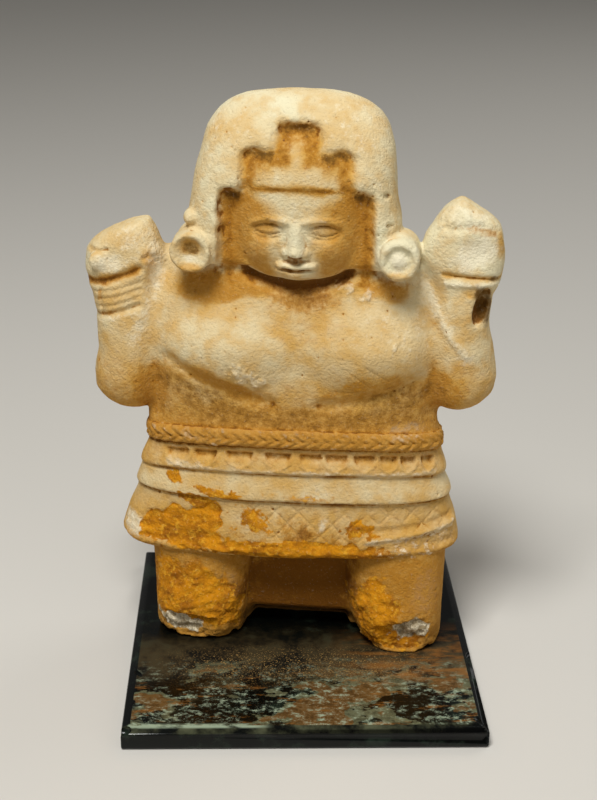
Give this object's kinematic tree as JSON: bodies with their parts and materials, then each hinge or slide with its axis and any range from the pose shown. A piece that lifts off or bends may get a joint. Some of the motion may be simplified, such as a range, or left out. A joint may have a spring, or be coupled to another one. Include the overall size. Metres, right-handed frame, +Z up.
{
  "type": "standing figure",
  "caption": "Standing fired-clay figure with a stepped hood, ear discs, raised hands and a banded garment, on a square slab of dark polished stone.",
  "frame": {"origin": "centre of the slab's underside", "axes": "+Z up, the figure looks towards -Y turned seven degrees, and +X is on the viewer's right"},
  "size_m": [0.11, 0.096, 0.1606],
  "materials": {
    "fired_clay": "matt buff terracotta with ochre stains, pale worn slip and flaked breaks",
    "dark_stone": "polished green-black breccia with brown patches, pale flecks and dust"
  },
  "bodies": {
    "root": {"figure": "fired_clay", "base_slab": "dark_stone"}
  },
  "joints": []
}
